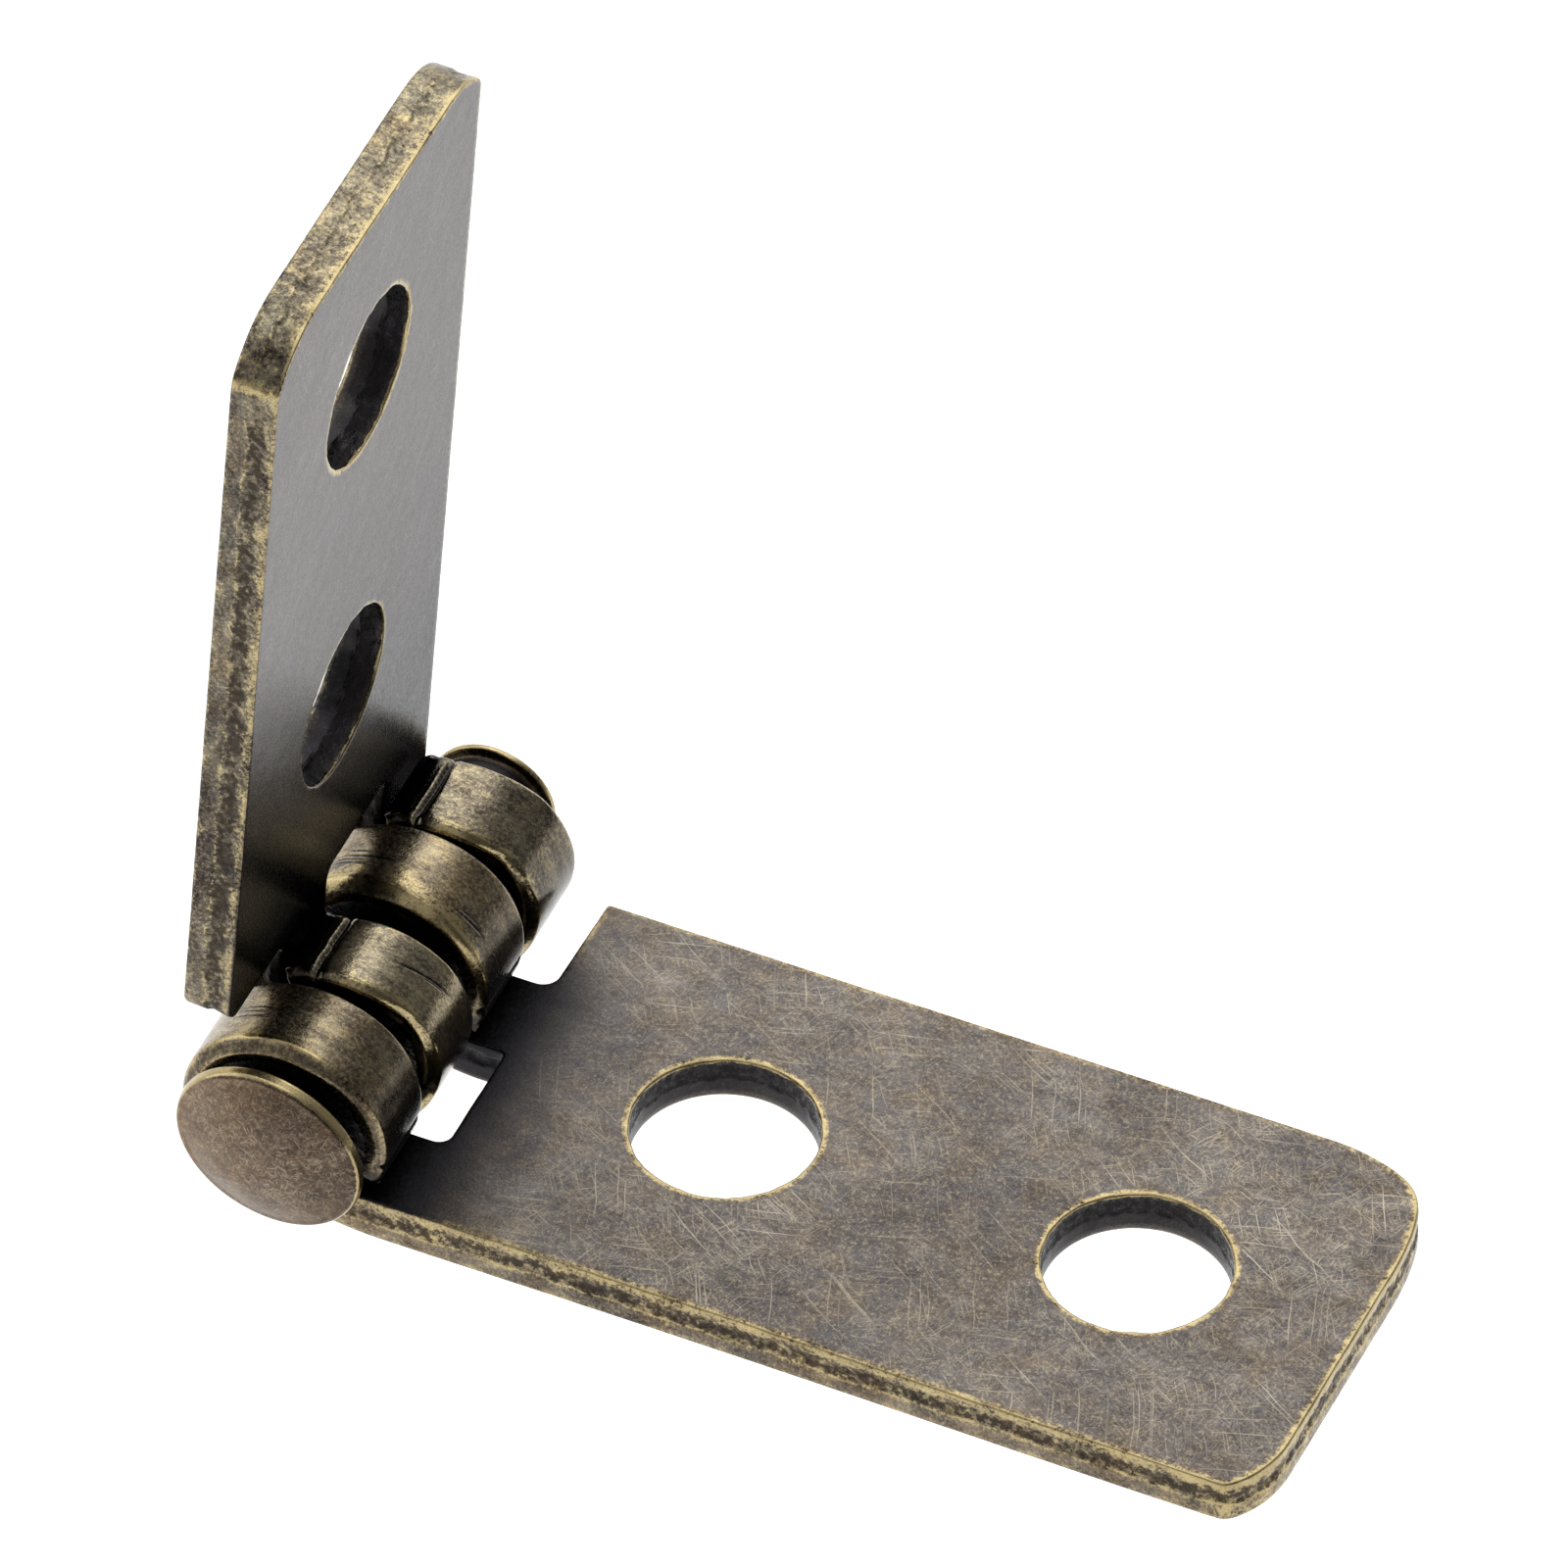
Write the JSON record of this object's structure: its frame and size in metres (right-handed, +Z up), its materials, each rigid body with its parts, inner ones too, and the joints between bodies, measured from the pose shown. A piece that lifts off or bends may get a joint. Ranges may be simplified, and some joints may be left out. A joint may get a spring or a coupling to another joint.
{
  "type": "butt hinge",
  "caption": "Small butt hinge of rolled sheet in aged bronze: flat leaves with plain screw holes swing on a loose riveted pin with domed heads.",
  "frame": {"origin": "midway between the fixed leaf's screw holes, on its seating face", "axes": "+X along the fixed leaf towards its free end, +Y along the pin from the broad head to the peened head, +Z up out of the fixed leaf's seating surface"},
  "size_m": [0.0267, 0.0134, 0.0269],
  "materials": {
    "fixed_leaf": "antique bronze plate, dark patina worn to bare brass on the edges, satin",
    "swing_leaf": "antique bronze plate, dark patina worn to bare brass on the edges, satin",
    "pin": "antique bronze plate, matt dome with a bright worn rim"
  },
  "bodies": {
    "fixed_side": {"fixed_leaf": "fixed_leaf"},
    "swing_side": {"swing_leaf": "swing_leaf"},
    "rivet": {"pin": "pin"}
  },
  "joints": [
    {"name": "leaf_swing", "type": "hinge", "parent": "fixed_side", "child": "swing_side", "pos_m": [-0.0137, 0, 0.00255], "axis": [0, -1, 0], "range_deg": [-87, 183]},
    {"name": "pin_spin", "type": "hinge", "parent": "fixed_side", "child": "rivet", "pos_m": [-0.0137, 0, 0.00255], "axis": [0, 1, 0], "continuous": true}
  ]
}
